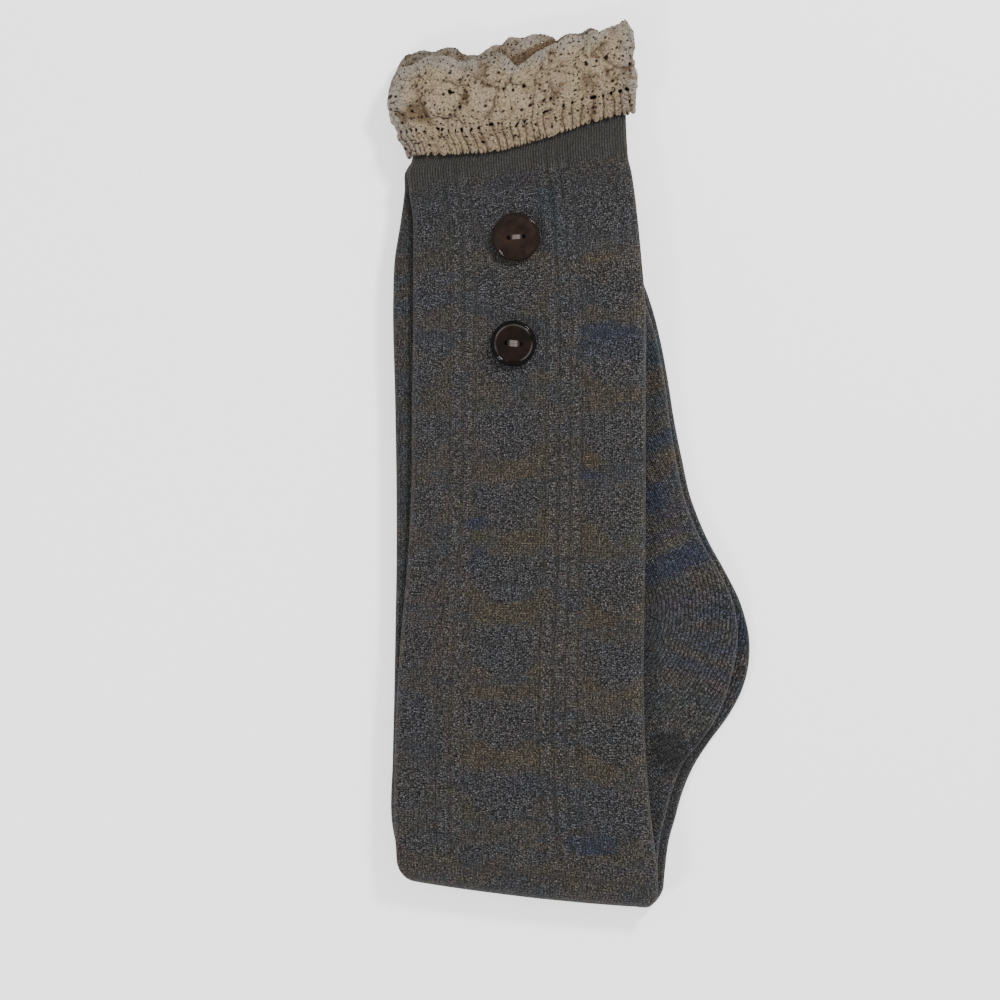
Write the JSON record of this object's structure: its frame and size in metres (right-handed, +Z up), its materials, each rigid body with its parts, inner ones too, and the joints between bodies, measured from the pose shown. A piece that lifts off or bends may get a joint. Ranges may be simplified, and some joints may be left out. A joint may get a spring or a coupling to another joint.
{
  "type": "pair of boot socks",
  "caption": "Pair of knee-high knitted boot socks with gathered lace cuffs and buttons, folded together and laid flat.",
  "frame": {"origin": "centre of the bounding box on the surface that the socks lie on", "axes": "+Y up the legs from the fold to the lace cuffs, +X across the legs towards the heels, +Z up from the surface"},
  "size_m": [0.151, 0.3684, 0.0186],
  "materials": {
    "front_knit": "marled knit in grey, tan and blue, raised ribs and shell motifs",
    "back_knit": "marled knit in grey, tan and blue",
    "front_lace": "cream crocheted lace, gathered",
    "back_lace": "cream crocheted lace, gathered",
    "brown_button": "mottled brown, glossy, dished",
    "dark_button": "mottled dark brown, glossy, rimmed"
  },
  "bodies": {
    "root": {"sock_front": "front_knit", "sock_back": "back_knit", "lace_front": "front_lace", "lace_back": "back_lace", "button_upper": "brown_button", "button_lower": "dark_button"}
  },
  "joints": []
}
